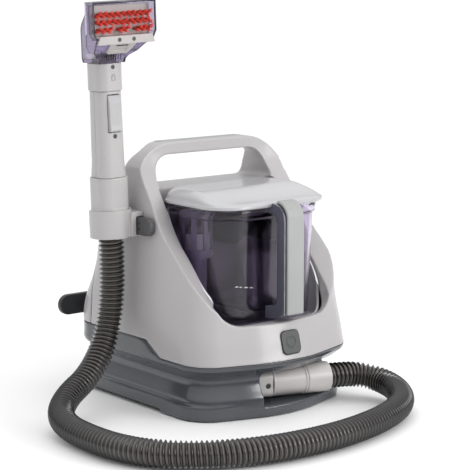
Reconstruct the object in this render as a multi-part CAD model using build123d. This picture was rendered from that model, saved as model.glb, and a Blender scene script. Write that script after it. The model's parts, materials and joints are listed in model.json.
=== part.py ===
from build123d import *
import math
import os

# Portable spot cleaner: a clean and dirty water jug in a moulded body, with a wand on a hose.
# Millimetres. Origin on the floor under the middle of the machine, front towards -Y, +Z up.

# ---------------------------------------------------------------- driving dimensions
HEIGHT = 345.0            # top of the carry handle
HALF_WIDTH = 132.0        # body at the seam between shell and base
BACK_Y = 151.0            # back of the body at the seam
SEAM_Z = 74.0             # top of the base tray along the front
SEAM_STEP_Z = 93.5        # top of the base tray along the rear
WALL = 3.0                # moulded wall of the shells and the tray
FIT = 0.3                 # clearance between pieces that part or slide

WELL_HALF = 98.0          # half width of the bay that holds the jug
WELL_BACK = 11.0
WELL_FRONT = -133.0
WELL_FLOOR = 112.0
LIP_Z = 122.0             # front lip of the bay

JUG_HALF = 89.0
JUG_FRONT = -128.0
JUG_BACK = 2.0
JUG_BOTTOM = 113.5
JUG_TOP = 270.0
JUG_WALL = 2.5

HANDLE_UNDER_Z = 329.0
HANDLE_GAP_HALF = 88.0
HANDLE_GAP_FLOOR = 286.0

HOSE_DIAMETER = 34.0
SCREW_HEAD = 2.0          # thickness of every screw head
WAND_X = -154.5           # wand axis where it passes the holder
WAND_Y = 21.5
WAND_Z = 245.0            # middle of the holder ring
WAND_LEAN = -1.9          # degrees outwards from upright
RING_LOW = 227.0
RING_HIGH = 264.0
RING_RADIUS = 28.0
COLLAR_TOP = 306.0
GRIP_TOP = 418.0
NECK_TOP = 454.0
HEAD_TOP = 533.0

PORT_ANGLE = -15.6        # hose connector turned towards the front, degrees
PORT_START = (-8.0, -118.5, 35.0)
PORT_BACK_X = -16.5       # suction pipe out of the back of the connector


# ---------------------------------------------------------------- helpers
def outline(points, radii):
    """Closed flat face with a rounded corner at each point."""
    return make_face(FilletPolyline(*points, radius=radii, close=True))


def slab(points, radii, low, high):
    """Outline in plan, raised from one height to another."""
    return Pos(0, 0, low) * extrude(outline(points, radii), high - low)


def side_prism(points, radii, x_low, x_high):
    """Outline in (Y, Z), run across the machine."""
    return Pos(x_low, 0, 0) * extrude(Plane.YZ * outline(points, radii), x_high - x_low)


def front_prism(points, radii, y_low, y_high):
    """Outline in (X, Z), run from front to back."""
    return Pos(0, y_high, 0) * extrude(Plane.XZ * outline(points, radii), y_high - y_low)


def span(x0, x1, y0, y1, z0, z1):
    """Plain block between two corners."""
    return Pos((x0 + x1) / 2, (y0 + y1) / 2, (z0 + z1) / 2) * Box(x1 - x0, y1 - y0, z1 - z0)


def rod(x, y, low, high, radius):
    """Upright cylinder."""
    return Pos(x, y, (low + high) / 2) * Cylinder(radius, high - low)


def tube(x, y, low, high, radius, wall):
    """Upright tube."""
    return rod(x, y, low, high, radius) - rod(x, y, low, high, radius - wall)


def rod_between(start, end, radius):
    """Cylinder between any two points."""
    direction = Vector(*end) - Vector(*start)
    return Plane(origin=start, z_dir=tuple(direction)) * Cylinder(
        radius, direction.length, align=(Align.CENTER, Align.CENTER, Align.MIN))


def plan_points(half, back, corner, apex):
    """Plan of the body: straight sides and back, and a front that bows forward."""
    return [(-half, back), (-half, corner), (0, apex), (half, corner), (half, back)]


def plan_face(station, inset):
    """Plan of the body at one height, moved inwards by inset."""
    z, half, back, corner, apex, back_r, corner_r = station
    points = plan_points(half - inset, back - inset, corner + inset, apex + inset)
    back_radius = back_r - inset * 0.6
    corner_radius = corner_r - inset * 0.6
    radii = [back_radius, corner_radius, 190.0, corner_radius, back_radius]
    return Pos(0, 0, z) * outline(points, radii)


def screw(x, y, z, direction, head=3.6, length=12.0):
    """Cross-recessed pan-head screw, driven along direction from its head at (x, y, z)."""
    plane = Plane(origin=(x, y, z), z_dir=direction)
    bottom = (Align.CENTER, Align.CENTER, Align.MIN)
    body = Cylinder(head, SCREW_HEAD, align=bottom)
    body += Pos(0, 0, SCREW_HEAD) * Cylinder(head * 0.45, length, align=bottom)
    slot = Box(head * 1.1, 0.9, 1.4) + Box(0.9, head * 1.1, 1.4)
    return plane * (body - slot)


def screw_hole(x, y, z, direction, head=3.6, length=12.0):
    """Stepped hole that takes the same screw."""
    plane = Plane(origin=(x, y, z), z_dir=direction)
    bottom = (Align.CENTER, Align.CENTER, Align.MIN)
    hole = Pos(0, 0, -2) * Cylinder(head + 0.1, SCREW_HEAD + 2, align=bottom)
    return plane * (hole + Cylinder(head * 0.45 + 0.05, SCREW_HEAD + length + 0.5, align=bottom))


def screws(places, direction, head, length, make):
    """The same screw, or its hole, at several places."""
    return [make(*place, direction, head=head, length=length) for place in places]


# ---------------------------------------------------------------- shell
# height, half width, back, front corner, front apex, back radius, front corner radius
SHELL_STATIONS = [
    (SEAM_Z, HALF_WIDTH, BACK_Y, -134, -178, 42, 46),
    (96.0, 131.5, 151, -129, -170, 42, 46),
    (124.0, 130.0, 148, -122, -163, 42, 46),
    (150.0, 128.0, 135, -118, -160, 40, 46),
    (178.0, 126.5, 123, -118, -160, 38, 46),
    (210.0, 125.5, 115, -118, -160, 36, 46),
    (246.0, 124.0, 92, -118, -160, 30, 46),
    (282.0, 122.0, 67, -118, -160, 24, 46),
    (317.0, 118.5, 46, -118, -160, 15, 46),
    (HEIGHT, 116.0, 42, -118, -160, 12, 46),
]
# edge of the side wings, from the handle down to the chin, in (Y, Z)
WING_EDGE = [(10, 345), (3, 307), (-19, 274), (-45, 232), (-75, 201),
             (-100, 173), (-122, 148), (-145, 131), (-175, 124)]
# how far the edge stands further forward on the outside of the wing than next to the bay
WING_BEVEL = [2, 3, 5, 7, 9, 11, 13, 13, 10]
SEAM_STEP = [(-54, SEAM_Z - 1), (-54, SEAM_Z), (-22, SEAM_STEP_Z), (200, SEAM_STEP_Z), (200, SEAM_Z - 1)]


def wing_face(x, grow, outward):
    """Everything in front of the wing edge at one width; outward is 0 next to the bay and 1 outside."""
    edge = []
    for (y, z), bevel in zip(WING_EDGE, WING_BEVEL):
        shift = grow - outward * bevel
        edge.append((y + shift * 0.75, z - shift * 0.66))
    frame = Polyline(edge[-1], (-240, edge[-1][1]), (-240, 460), (edge[0][0], 460), edge[0])
    return Pos(x, 0, 0) * (Plane.YZ * make_face([Spline(*edge), frame]))


def wing_space(grow):
    """All the space in front of the wing edges, moved towards the body by grow."""
    space = Pos(-WELL_HALF, 0, 0) * extrude(wing_face(0, grow, 0), 2 * WELL_HALF)
    for side in (-1, 1):
        space += loft([wing_face(side * WELL_HALF, grow, 0), wing_face(side * 140, grow, 1.5)], ruled=True)
    return space


def bay_space(grow):
    """The upright bay for the jug, open at the top."""
    half = WELL_HALF + grow
    front = WELL_FRONT - grow
    back = WELL_BACK + grow
    points = [(-half, back), (-half, front), (half, front), (half, back)]
    return slab(points, [20, 45 + grow, 45 + grow, 20], WELL_FLOOR - 3.0 - grow, HANDLE_GAP_FLOOR + 2)


def well_space(grow):
    """The bay for the jug with its front opening above the lip."""
    low = LIP_Z - grow
    half = WELL_HALF + grow
    opening = front_prism([(-half, low), (half, low), (half, 420), (-half, 420)], [34, 34, 0, 0], -240, -90)
    return bay_space(grow) + opening


def handle_gap(grow):
    """The hand opening under the carry handle."""
    low, high = WELL_HALF + grow, HANDLE_GAP_HALF + grow
    points = [(-low, HANDLE_GAP_FLOOR - grow), (low, HANDLE_GAP_FLOOR - grow),
              (high, HANDLE_UNDER_Z + grow), (-high, HANDLE_UNDER_Z + grow)]
    return front_prism(points, [8, 8, 26 + grow, 26 + grow], -28 - grow, 220)


def shell_envelope(inset):
    """Outer form of the body above the seam, moved inwards by inset."""
    body = loft([plan_face(station, inset) for station in SHELL_STATIONS])
    top = HEIGHT - inset
    high, mid = 120 - inset, 140 - inset
    brow = front_prism([(-180, 0), (180, 0), (mid, 200), (high, top), (-high, top), (-mid, 200)],
                       [0, 0, 30, 64 - inset, 64 - inset, 30], -260, 260)
    body = body & brow
    body -= wing_space(inset)
    body -= well_space(inset)
    return body - handle_gap(inset)


def make_shells():
    """Front shell with wings, chin and handle, and the rear shell and handle cover behind it."""
    full = shell_envelope(0) - shell_envelope(WALL)
    full -= (bay_space(WALL + 0.05) & span(-200, 200, -240, 200, 60, 255)) - wing_space(8.0)
    step = side_prism(SEAM_STEP, [0] * 5, -200, 200)
    skirt = full & step
    full -= step
    full -= chin_plane() * (Pos(0, 0, -14) * rounded_square(30.6, 7.3, 28))
    for side in (-1, 1):
        full -= span(side * 70 - 24, side * 70 + 24, 100, 170, 101, 123)
    full -= back_plane() * (Pos(0, 0, -14) * extrude(rectangle_face(92, 41, 8), 40))
    full -= rod_between((0, 90, 106), (0, 170, 106), 9.0)
    for hole in screws(HOLDER_SCREWS, (-1, 0, 0), 3.0, 8.0, screw_hole):
        full -= hole
    cover = full & span(-70, 70, 27, 60, 318, 360)
    rear = full & span(-200, 200, 105.4, 220, 0, 400)
    front = full - span(-70.3, 70.3, 26.6, 60, 318, 360) - span(-200, 200, 105, 220, 0, 400)
    return front, rear, cover, skirt


def rectangle_face(width, height, radius):
    """Flat rectangle with rounded corners, centred."""
    half, rise = width / 2, height / 2
    return outline([(-half, -rise), (half, -rise), (half, rise), (-half, rise)], [radius] * 4)


def rounded_square(size, radius, depth):
    """Rounded square bar standing on its plane."""
    return extrude(rectangle_face(size, size, radius), depth)


def chin_plane():
    """Plane of the power button on the sloping chin, facing out."""
    return Plane(origin=(0, -161.0, 96), x_dir=(1, 0, 0), z_dir=(0, -0.9613, 0.2756))


def back_plane():
    """Plane of the exhaust grille on the sloping back, facing out."""
    return Plane(origin=(0, 120.5, 186), x_dir=(-1, 0, 0), z_dir=(0, 0.9703, 0.2419))


def biggest(shape):
    """The largest solid of a shape, without loose slivers."""
    return max(shape.solids(), key=lambda solid: solid.volume)



def make_tank_bay():
    """Liner of the bay: floor, back and side walls that end under the wing edge."""
    gap = 0.4
    half = WELL_HALF - gap
    front = WELL_FRONT + gap
    back = WELL_BACK - gap
    points = [(-half, back), (-half, front), (half, front), (half, back)]
    outer = slab(points, [20, 45, 45, 20], WELL_FLOOR - 2.6, 262)
    in_half, in_front, in_back = half - 2.5, front + 2.5, back - 2.5
    inner_points = [(-in_half, in_back), (-in_half, in_front), (in_half, in_front), (in_half, in_back)]
    inner = slab(inner_points, [18, 43, 43, 18], WELL_FLOOR, 300)
    bay = outer - inner
    bay -= wing_space(4.0)
    low = LIP_Z - 2.5
    bay -= front_prism([(-90, low), (90, low), (90, 300), (-90, 300)], [26, 26, 0, 0], -240, -90)
    bay -= rod(0, -40, 90, 130, 15.0)
    bay -= rod(58, -20, 90, 130, 10.6)
    bay -= rod(*STANDPIPE, 90, 130, 11.4)
    return bay


# ---------------------------------------------------------------- base
# height and how far the wall stands in from the seam outline
BASE_PROFILE = [(SEAM_Z, 0.0), (68.0, 1.5), (58.0, 12.0), (51.0, 16.0),
                (44.0, 16.0), (36.0, 13.0), (27.0, 9.0), (12.0, 8.0)]
LEDGE_Z = 20.0
RECESS_FLOOR = 14.0


def base_section(z, inset):
    """Plan of the base at one height."""
    return plan_face((z, HALF_WIDTH, BACK_Y, -134, -178, 42, 46), inset)


def recess_space(grow):
    """Side pocket at the front right that clears the hose connector."""
    points = [(-38 - grow, -92 + grow), (-38 - grow, -230), (200, -230), (200, -92 + grow)]
    return slab(points, [10, 0, 0, 0], RECESS_FLOOR - grow, 57.5 + grow)


def base_envelope(inset):
    """Outer form of the base tray, moved inwards by inset."""
    body = loft([base_section(z, edge + inset) for z, edge in BASE_PROFILE], ruled=True)
    ledge = Pos(0, 0, 5) * extrude(flange_face(inset), LEDGE_Z - 5 - inset)
    ledge -= span(-60 - inset, 200, -230, -92 + inset, RECESS_FLOOR - inset, LEDGE_Z + 1)
    return (body + ledge) - recess_space(inset)


def flange_face(inset):
    """Plan of the foot flange."""
    half = 130.0 - inset
    points = plan_points(half, 147 - inset, -126 + inset, -167 + inset)
    return outline(points, [42, 50, 170, 50, 42])


def make_base_tray(skirt):
    """Lower housing: waisted walls, foot flange, connector pocket and the raised rear rim."""
    tray = base_envelope(0) - (base_envelope(WALL) & span(-200, 200, -200, 200, 9, 80))
    tray += skirt
    front_apron = Pos(0, 0, 1) * extrude(flange_face(0.5), 4.0) & span(-200, 200, -200, -50, 0, 10)
    tray += front_apron
    tray -= Pos(0, 0, -1) * extrude(flange_face(4.0), 6.5)
    for hole in screws(BASE_SCREWS, (0, 0, 1), 3.2, 5.0, screw_hole):
        tray -= hole
    return tray - rod_between((PORT_BACK_X, -120, 35), (PORT_BACK_X, -80, 35), 12.05)


def make_base_plate():
    """Flat bottom cover inside the flange, with a groove for the foot ring."""
    plate = Pos(0, 0, 2.5) * extrude(flange_face(5.0), 2.8)
    plate -= foot_ring(0.3)
    for hole in screws(BASE_SCREWS, (0, 0, 1), 3.2, 5.0, screw_hole):
        plate -= hole
    return plate


FOOT_PLACES = [(-109, 98), (109, 98), (-108, -80), (108, -80)]
BASE_SCREWS = [(-70, 116, 2.0), (70, 116, 2.0), (-94, 10, 2.0),
               (94, 10, 2.0), (-50, -116, 2.0), (50, -116, 2.0)]


def foot_ring(grow):
    """Ring under the base with a round pad near each corner."""
    ring = extrude(flange_face(14.0 - grow), 3.6) - Pos(0, 0, -1) * extrude(flange_face(20.0 + grow), 6)
    for x, y in FOOT_PLACES:
        ring += rod(x, y, 0, 3.6, 11.0 + grow)
    return ring


def make_feet():
    """Rubber foot ring with its four pads, moulded in one piece."""
    return foot_ring(0)


# ---------------------------------------------------------------- jug and lid
def jug_points(shrink):
    """Plan of the jug."""
    half = JUG_HALF - shrink
    back, front = JUG_BACK - shrink, JUG_FRONT + shrink
    return [(-half, back), (-half, front), (half, front), (half, back)]


def jug_form(shrink, low, high):
    """Tapered body of the jug between two heights."""
    def face(z):
        draft = 5.0 * (JUG_TOP - z) / (JUG_TOP - JUG_BOTTOM)
        radius = 42 - shrink * 0.7
        return Pos(0, 0, z) * outline(jug_points(shrink + draft), [22, radius, radius, 22])
    return loft([face(low), face(high)], ruled=True)


def make_jug_body():
    """Clear outer jug with a stepped rim band and an outlet in its floor."""
    jug = jug_form(0, JUG_BOTTOM, JUG_TOP)
    band = jug_form(-3.0, 256.0, JUG_TOP)
    jug = jug + band - jug_form(JUG_WALL, JUG_BOTTOM + JUG_WALL, JUG_TOP + 1)
    return jug - rod(0, -40, 100, 125, 11.0) - rod(*STANDPIPE, 100, 125, 9.0)


def make_inner_tank():
    """Clear inner tank for the dirty water, with rounded corners."""
    def block(shrink, low, high):
        left, right, front, back = -36 + shrink, 71 - shrink, -116 + shrink, -14 - shrink
        points = [(left, back), (left, front), (right, front), (right, back)]
        return slab(points, [20 - shrink, 24 - shrink, 30 - shrink, 20 - shrink], low, high)
    tank = block(0, 130, 252) - block(2, 132, 260)
    return tank - rod(50, -40, 120, 140, 9.0)


def make_handle_frame():
    """C-shaped frame of the jug handle, from the rim to the lower wall."""
    outer = side_prism([(-127, 124), (-166, 130), (-166, 276), (-131.5, 276)], [0, 16, 20, 0], -16.5, 16.5)
    finger = side_prism([(-120, 140), (-151, 145), (-151, 263), (-120, 263)], [0, 10, 12, 0], -20, 20)
    frame = outer - finger
    keep = jug_form(-0.0, JUG_BOTTOM, JUG_TOP) + jug_form(-3.0, 256.0, JUG_TOP)
    return frame - keep - span(-30, 30, -139.8, -100, 269.6, 290)


def make_handle_strap():
    """Soft grey cover over the front of the handle frame, curled back over its top."""
    outer = side_prism([(-146, 134), (-170, 134), (-170, 280), (-146, 280)], [0, 2, 22, 1], -13.5, 13.5)
    points = [(-120, 100), (-166.05, 100), (-166.05, 276.05), (-120, 276.05)]
    return outer - side_prism(points, [0, 0, 20, 0], -20, 20)


def make_lid():
    """Lid: a thin rim, a band that slopes up from the front and a raised flat back."""
    def face(z, side, back, front, radius):
        return Pos(0, 0, z) * outline([(-side, back), (-side, front), (side, front), (side, back)],
                                      [radius * 0.8, radius, radius, radius * 0.8])
    rim = extrude(face(270.6, 97, 4, -138, 44), 4.4)
    dome = loft([face(275, 96, 3, -137, 43), face(280, 91, 0, -126, 40), face(285, 84, -4, -106, 36),
                 face(289, 76, -9, -88, 30)], ruled=True)
    hollow = extrude(face(266, 89, -3, -131, 38), 9.0) + loft(
        [face(275, 89, -3, -130, 38), face(286.5, 74, -12, -90, 28)], ruled=True)
    return rim + dome - hollow


def make_lid_gasket():
    """Rubber seal under the lid rim, inside the jug mouth."""
    return jug_form(JUG_WALL + 0.4, 266, 270.5) - jug_form(JUG_WALL + 3.0, 265, 271)


STANDPIPE = (-60.0, -40.0)
CAGE_LOW = 205.0


def make_standpipe():
    """Suction pipe that rises from the floor of the jug."""
    return tube(*STANDPIPE, 116.05, 202, 13.0, 2.0) + tube(*STANDPIPE, 198, 202, 19.0, 7.0)


def make_float_cage():
    """Cage that guides the float under the lid."""
    cage = tube(*STANDPIPE, CAGE_LOW - 3, 262, 21.0, 2.0) + rod(*STANDPIPE, CAGE_LOW - 3, CAGE_LOW, 21.0)
    for angle in range(0, 180, 45):
        cage -= Pos(*STANDPIPE, 232) * Rot(0, 0, angle + 22.5) * Box(60, 9, 44)
    return cage - rod(*STANDPIPE, 190, 210, 9.0)


def make_float():
    """Float that closes the air way when the jug is full."""
    drum = rod(*STANDPIPE, CAGE_LOW + 0.5, CAGE_LOW + 26, 18.3)
    return drum + rod(*STANDPIPE, CAGE_LOW + 26, CAGE_LOW + 34, 8.0)


def make_outlet_valve():
    """Valve plug in the outlet of the jug."""
    return rod(0, -40, 111.5, 121, 10.7) + rod(0, -40, JUG_BOTTOM + JUG_WALL + 0.05, 121, 14.0)


# ---------------------------------------------------------------- inside the body
FAN_AXIS = (0.0, 61.0)


def make_motor():
    """Vacuum motor can with its cooling cap."""
    can = rod(*FAN_AXIS, 146, 214, 38.0) + rod(*FAN_AXIS, 214, 222, 28.0)
    can -= rod(*FAN_AXIS, 140, 200, 4.4)
    for angle in range(0, 360, 30):
        can -= Pos(*FAN_AXIS, 0) * Rot(0, 0, angle) * span(30, 45, -2, 2, 180, 194)
    return can


def make_motor_mounts():
    """Two rubber rings that hold the motor can."""
    return [tube(*FAN_AXIS, low, low + 8, 42.5, 4.4) for low in (150, 200)]


def make_motor_cradle():
    """Bracket around the rubber rings, on two legs to the tray floor."""
    cradle = tube(*FAN_AXIS, 149, 209, 45.6, 3.0)
    for side in (-1, 1):
        cradle += span(side * 50 - 4, side * 50 + 4, FAN_AXIS[1] - 10, FAN_AXIS[1] + 10, 9.05, 209)
        cradle += span(side * 47 - 3, side * 47 + 3, FAN_AXIS[1] - 10, FAN_AXIS[1] + 10, 149, 209)
    for angle in (45, 135):
        cradle -= Pos(*FAN_AXIS, 179) * Rot(0, 0, angle) * Box(120, 30, 30)
    return biggest(cradle - rod(*FAN_AXIS, 145, 215, 42.6))


def make_fan_housing():
    """Shallow drum around the fan, with an inlet below and an outlet to the rear."""
    drum = rod(*FAN_AXIS, 108, 144, 46.0) - rod(*FAN_AXIS, 111, 141, 43.0)
    drum += span(-22, 22, 96, 112, 112, 140) - span(-19, 19, 90, 120, 115, 137)
    drum -= span(-19, 19, 90, 108, 115, 137) + rod(*FAN_AXIS, 111, 141, 43.0)
    drum -= rod(*FAN_AXIS, 100, 112, 14.0)
    return drum - rod(*FAN_AXIS, 140, 146, 4.4)


def make_fan_wheel():
    """Fan wheel: two discs with curved-back blades between them."""
    wheel = rod(*FAN_AXIS, 114, 116, 41.0) - rod(*FAN_AXIS, 110, 118, 15.0) + rod(*FAN_AXIS, 132, 135, 41.0)
    for number in range(9):
        turn = Pos(*FAN_AXIS, 0) * Rot(0, 0, number * 40) * Pos(17, 0, 0) * Rot(0, 0, 32)
        blade = turn * span(0, 25, -0.9, 0.9, 115.5, 132.5)
        wheel += blade & rod(*FAN_AXIS, 110, 140, 40.5)
    return wheel - rod(*FAN_AXIS, 100, 150, 4.0)


def make_fan_shaft():
    """Steel shaft through the motor and the wheel."""
    return rod(*FAN_AXIS, 118, 198, 4.0)


def make_suction_duct():
    """Air way from the bay down and back to the fan inlet."""
    points = [(58, -20, 106), (58, -20, 86), (*FAN_AXIS, 86), (*FAN_AXIS, 107.9)]
    duct = pipe(points, [17, 17], 12.5) - pipe(points, [17, 17], 10.5)
    return duct + (rod(58, -20, 104, 109.3, 19.0) - rod(58, -20, 100, 112, 10.5))


def make_exhaust_filter():
    """Foam slab behind the exhaust grille."""
    foam = back_plane() * (Pos(0, 0, -11) * extrude(rectangle_face(96, 44, 4), 5))
    return foam - rod(*FAN_AXIS, 140, 220, 46.2)


def make_exhaust_grille():
    """Louvred grille in the back of the rear shell."""
    grille = extrude(rectangle_face(91.4, 40.4, 7.7), 3.2)
    for row in range(5):
        grille -= Pos(0, -14 + row * 7.0, 0) * Box(78, 3.4, 20)
    return back_plane() * (Pos(0, 0, -4.5) * grille)


def make_pump():
    """Water pump: motor, gear head and two hose barbs."""
    body = rod_between((-88, 70, 34), (-88, 26, 34), 17.0) + span(-107, -69, 8, 27, 14, 54)
    body += rod_between((-98, 10, 44), (-98, -6, 44), 4.0) + rod_between((-78, 10, 44), (-78, -6, 44), 4.0)
    return body


def make_pump_foot():
    """Rubber saddle under the pump."""
    saddle = span(-104, -72, 30, 66, 9.05, 24)
    return saddle - rod_between((-88, 80, 34), (-88, 20, 34), 17.05)


def pipe(points, radii, outer):
    """Solid round line along straight runs joined by arcs."""
    path = FilletPolyline(*points, radius=radii)
    return sweep(Plane(origin=path @ 0, z_dir=path % 0) * Circle(outer), path=path)


def make_water_lines():
    """Two soft tubes: bay outlet to pump, and pump to the hose port."""
    feed = [(-78, -6.1, 44), (-78, -24, 44), (-32, -12, 62), (0, -40, 82), (0, -40, 104)]
    out = [(-98, -6.1, 44), (-98, -40, 44), (-74, -80, 36), (-44, -84, 35), (-34, -84, 35)]
    return [pipe(feed, [8, 12, 10], 3.2), pipe(out, [12, 14, 4], 3.2)]


def make_riser_duct():
    """Suction duct from the hose port up to the jug."""
    points = [(PORT_BACK_X, -85.9, 35), (PORT_BACK_X, -60, 35), (-60, -42, 60),
              (-60, -40, 84), (-60, -40, 111.4)]
    radii = [11.5, 16, 12]
    return pipe(points, radii, 11.0) - pipe(points, radii, 9.0)


def make_tank_coupling():
    """Seat in the bay floor that opens the jug's outlet valve."""
    seat = tube(0, -40, 100, 111.2, 14.7, 3.5) + rod(0, -40, 104, 106, 14.7)
    seat += tube(0, -40, 106, 111.2, 12.0, 2.0)
    return seat + (rod(0, -40, 100, 109.3, 18.0) - rod(0, -40, 99, 110, 11.2))


def make_switch():
    """Push switch behind the power button."""
    bottom = (Align.CENTER, Align.CENTER, Align.MIN)
    body = Pos(0, 0, -34) * Box(18, 16, 12, align=bottom) + Pos(0, 0, -22) * Cylinder(3.0, 6.4, align=bottom)
    return chin_plane() * body


def make_control_board():
    """Circuit board with its components."""
    board = Pos(0, 0, -35.7) * Box(80, 16, 1.6)
    for x, size in ((-30, 10), (-17, 7), (20, 12), (33, 8)):
        board += Pos(x, 0, -33.4) * Box(size, size, 4)
    return chin_plane() * board


def make_cord_inlet():
    """Round gland in the back for the mains lead."""
    gland = rod_between((0, 140, 106), (0, 158, 106), 8.7) + rod_between((0, 151.4, 106), (0, 155, 106), 12.0)
    return gland - rod_between((0, 130, 106), (0, 170, 106), 4.0)


def make_cord_hooks():
    """Two flat hooks that the mains lead winds round, out of the back corners."""
    hooks = []
    for side in (-1, 1):
        corners = [(side * 56, 98), (side * 149, 98), (side * 149, 126), (side * 56, 126)]
        plate = front_prism(corners, [4, 13.9, 13.9, 4], 151.6, 160)
        hooks.append(plate + span(side * 70 - 20, side * 70 + 20, 144, 152, 102, 122))
    return hooks


# ---------------------------------------------------------------- wand holder and hose connector
LATCH_PIVOT = (-130.0, -5.5)
HOLDER_SCREWS = [(-119.2, 2.0, 240.0), (-119.2, 42.0, 252.0)]


def lean(shape):
    """Tilts an upright wand piece onto the leaning wand axis."""
    return shape.rotate(Axis((WAND_X, WAND_Y, WAND_Z), (0, 1, 0)), WAND_LEAN)


def make_wand_holder():
    """Ring around the wand, open at the back for the hose, on a bracket to the side of the shell."""
    ring = tube(WAND_X, WAND_Y, RING_LOW, RING_HIGH, RING_RADIUS, 2.7)
    ring -= Pos(WAND_X, WAND_Y, WAND_Z) * Rot(0, 0, 115) * span(0, 60, -18, 18, -40, 40)
    bracket = front_prism([(-142, 229), (-100, 229), (-100, 261), (-142, 261)], [0, 0, 8, 0], -9, 46)
    bracket -= lean(rod(WAND_X, WAND_Y, 200, 300, RING_RADIUS - 1.0))
    bracket -= shell_envelope(0)
    bracket -= span(-134.8, -90, -20, -1.5, 230.4, 254.6)
    bracket -= rod(LATCH_PIVOT[0], LATCH_PIVOT[1], 200, 300, 1.6)
    for hole in screws(HOLDER_SCREWS, (-1, 0, 0), 3.0, 8.0, screw_hole):
        bracket -= hole
    return biggest(lean(ring) + biggest(bracket))


def make_case_screws():
    """Two screws from inside the shell into the bracket, and the one in the hose port."""
    return screws(HOLDER_SCREWS, (-1, 0, 0), 3.0, 8.0, screw) + [make_port_screw()]


def make_holder_latch():
    """Grey release lever on the side of the shell, hinged inside the bracket."""
    lever = side_prism([(-37, 231), (-3, 231), (-3, 254), (-37, 254)], [9, 2, 2, 9], -133.6, -126.2)
    return lever - rod(*LATCH_PIVOT, 200, 260, 1.6)


def make_latch_pin():
    """Steel pin of the release lever."""
    return rod(*LATCH_PIVOT, 229.5, 256, 1.55)


def port_frame():
    """Frame of the hose connector: its Z runs along the connector."""
    angle = math.radians(PORT_ANGLE)
    return Plane(origin=PORT_START, x_dir=(0, 0, -1), z_dir=(math.cos(angle), math.sin(angle), 0))


def port_rod(start, end, radius):
    """Cylinder along the connector axis."""
    bottom = (Align.CENTER, Align.CENTER, Align.MIN)
    return port_frame() * (Pos(0, 0, start) * Cylinder(radius, end - start, align=bottom))


def make_hose_port():
    """Fixed elbow in the pocket: a square-shouldered stub with a tube end."""
    corners = [(-17, -17), (17, -17), (17, 17), (-17, 17)]
    block = port_frame() * (Pos(0, 0, -22) * extrude(outline(corners, [9] * 4), 26.5))
    port = block + port_rod(4, 34, 14.0) + rod_between((PORT_BACK_X, -118, 35), (PORT_BACK_X, -86, 35), 12.0)
    port -= port_rod(-18, 40, 11.0) + rod_between((PORT_BACK_X, -118, 35), (PORT_BACK_X, -80, 35), 9.5)
    return port - screw_hole(*port_screw_place(), head=3.4, length=3.0)


def port_screw_place():
    """Where the port's screw starts, and its direction."""
    plane = port_frame()
    head = plane.from_local_coords(Vector(1.0, -17.0, -3.0))
    inward = plane.from_local_coords(Vector(1.0, 0, -3.0)) - head
    return head.X, head.Y, head.Z, tuple(inward.normalized())


def make_port_screw():
    """Screw in the front of the port."""
    return screw(*port_screw_place(), head=3.4, length=3.0)


def make_hose_collar():
    """Twist collar that locks the hose to the port."""
    collar = port_rod(5, 55, 19.0) + port_rod(52.0, 55.0, 20.0) + port_rod(5, 7, 19.5)
    collar -= port_rod(4, 60, 15.0) + (port_rod(9, 10, 20.0) - port_rod(9, 10, 18.6))
    for angle in (0, 180):
        collar -= port_frame() * (Rot(0, 0, angle) * Pos(0, 20.0, 31) * Box(6, 1.4, 26))
    return collar


def make_hose_cuff():
    """Cuff at the machine end of the hose, with its strain-relief mouth."""
    return port_rod(55.4, 90, 20.0) + port_rod(35, 55.4, 14.4) - port_rod(30, 78, 11.5)


# ---------------------------------------------------------------- hose
# route of the hose, from the wand's lower end round the front of the machine to its cuff
HOSE_ROUTE = [
    (-153.96, 21.5, 226.7), (-152.8, 21.5, 191.0), (-153.5, 21.5, 148.0), (-161.0, 20.0, 108.0),
    (-180.0, 12.0, 74.0), (-211.0, -1.0, 49.0), (-249.0, -15.0, 36.0), (-281.0, -43.0, 24.0),
    (-297.0, -87.0, 19.0), (-301.0, -140.0, 18.0), (-297.0, -196.0, 17.6), (-276.0, -244.0, 17.5),
    (-234.0, -282.0, 17.5), (-182.0, -306.0, 17.5), (-124.0, -317.0, 17.5), (-66.0, -318.0, 17.5),
    (-10.0, -310.0, 17.6), (44.0, -294.0, 17.8), (92.0, -270.0, 18.4), (126.0, -238.0, 20.0),
    (143.0, -203.0, 23.0), (141.0, -173.0, 28.0), (123.0, -155.5, 33.0), (100.8, -148.87, 35.0),
    (78.69, -142.7, 35.0),
]


def hose_radii(points):
    """Arc at each corner of the route: 0.45 of the shorter run over the tangent of half the turn."""
    radii = []
    for before, here, after in zip(points, points[1:], points[2:]):
        arriving = Vector(*here) - Vector(*before)
        leaving = Vector(*after) - Vector(*here)
        half_turn = math.radians(arriving.get_angle(leaving)) / 2
        radii.append(0.45 * min(arriving.length, leaving.length) / math.tan(half_turn))
    return radii


def make_hose():
    """Suction hose as a plain tube of its outer diameter."""
    radii = hose_radii(HOSE_ROUTE)
    print("hose arc radii", [round(radius) for radius in radii])
    path = FilletPolyline(*HOSE_ROUTE, radius=radii)
    start = Plane(origin=HOSE_ROUTE[0], z_dir=path % 0)
    hose = sweep(start * Circle(HOSE_DIAMETER / 2), path=path)
    section = math.pi * HOSE_DIAMETER ** 2 / 4
    print("hose length", round(path.length, 1), "volume ratio", round(hose.volume / (section * path.length), 4))
    return hose


# ---------------------------------------------------------------- wand
GRIP_FACE = -18.3         # front face of the grip, measured from the wand axis
TRIGGER_HINGE = (WAND_Y - 13.0, GRIP_TOP - 9.0)
TRIGGER_LOW = GRIP_TOP - 52.0
VALVE_Z = GRIP_TOP - 26.0
MOUTH_Y = -28.0
MOUTH_HALF = 48.0
GRIP_SCREWS = [GRIP_TOP - 58.0]


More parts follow.
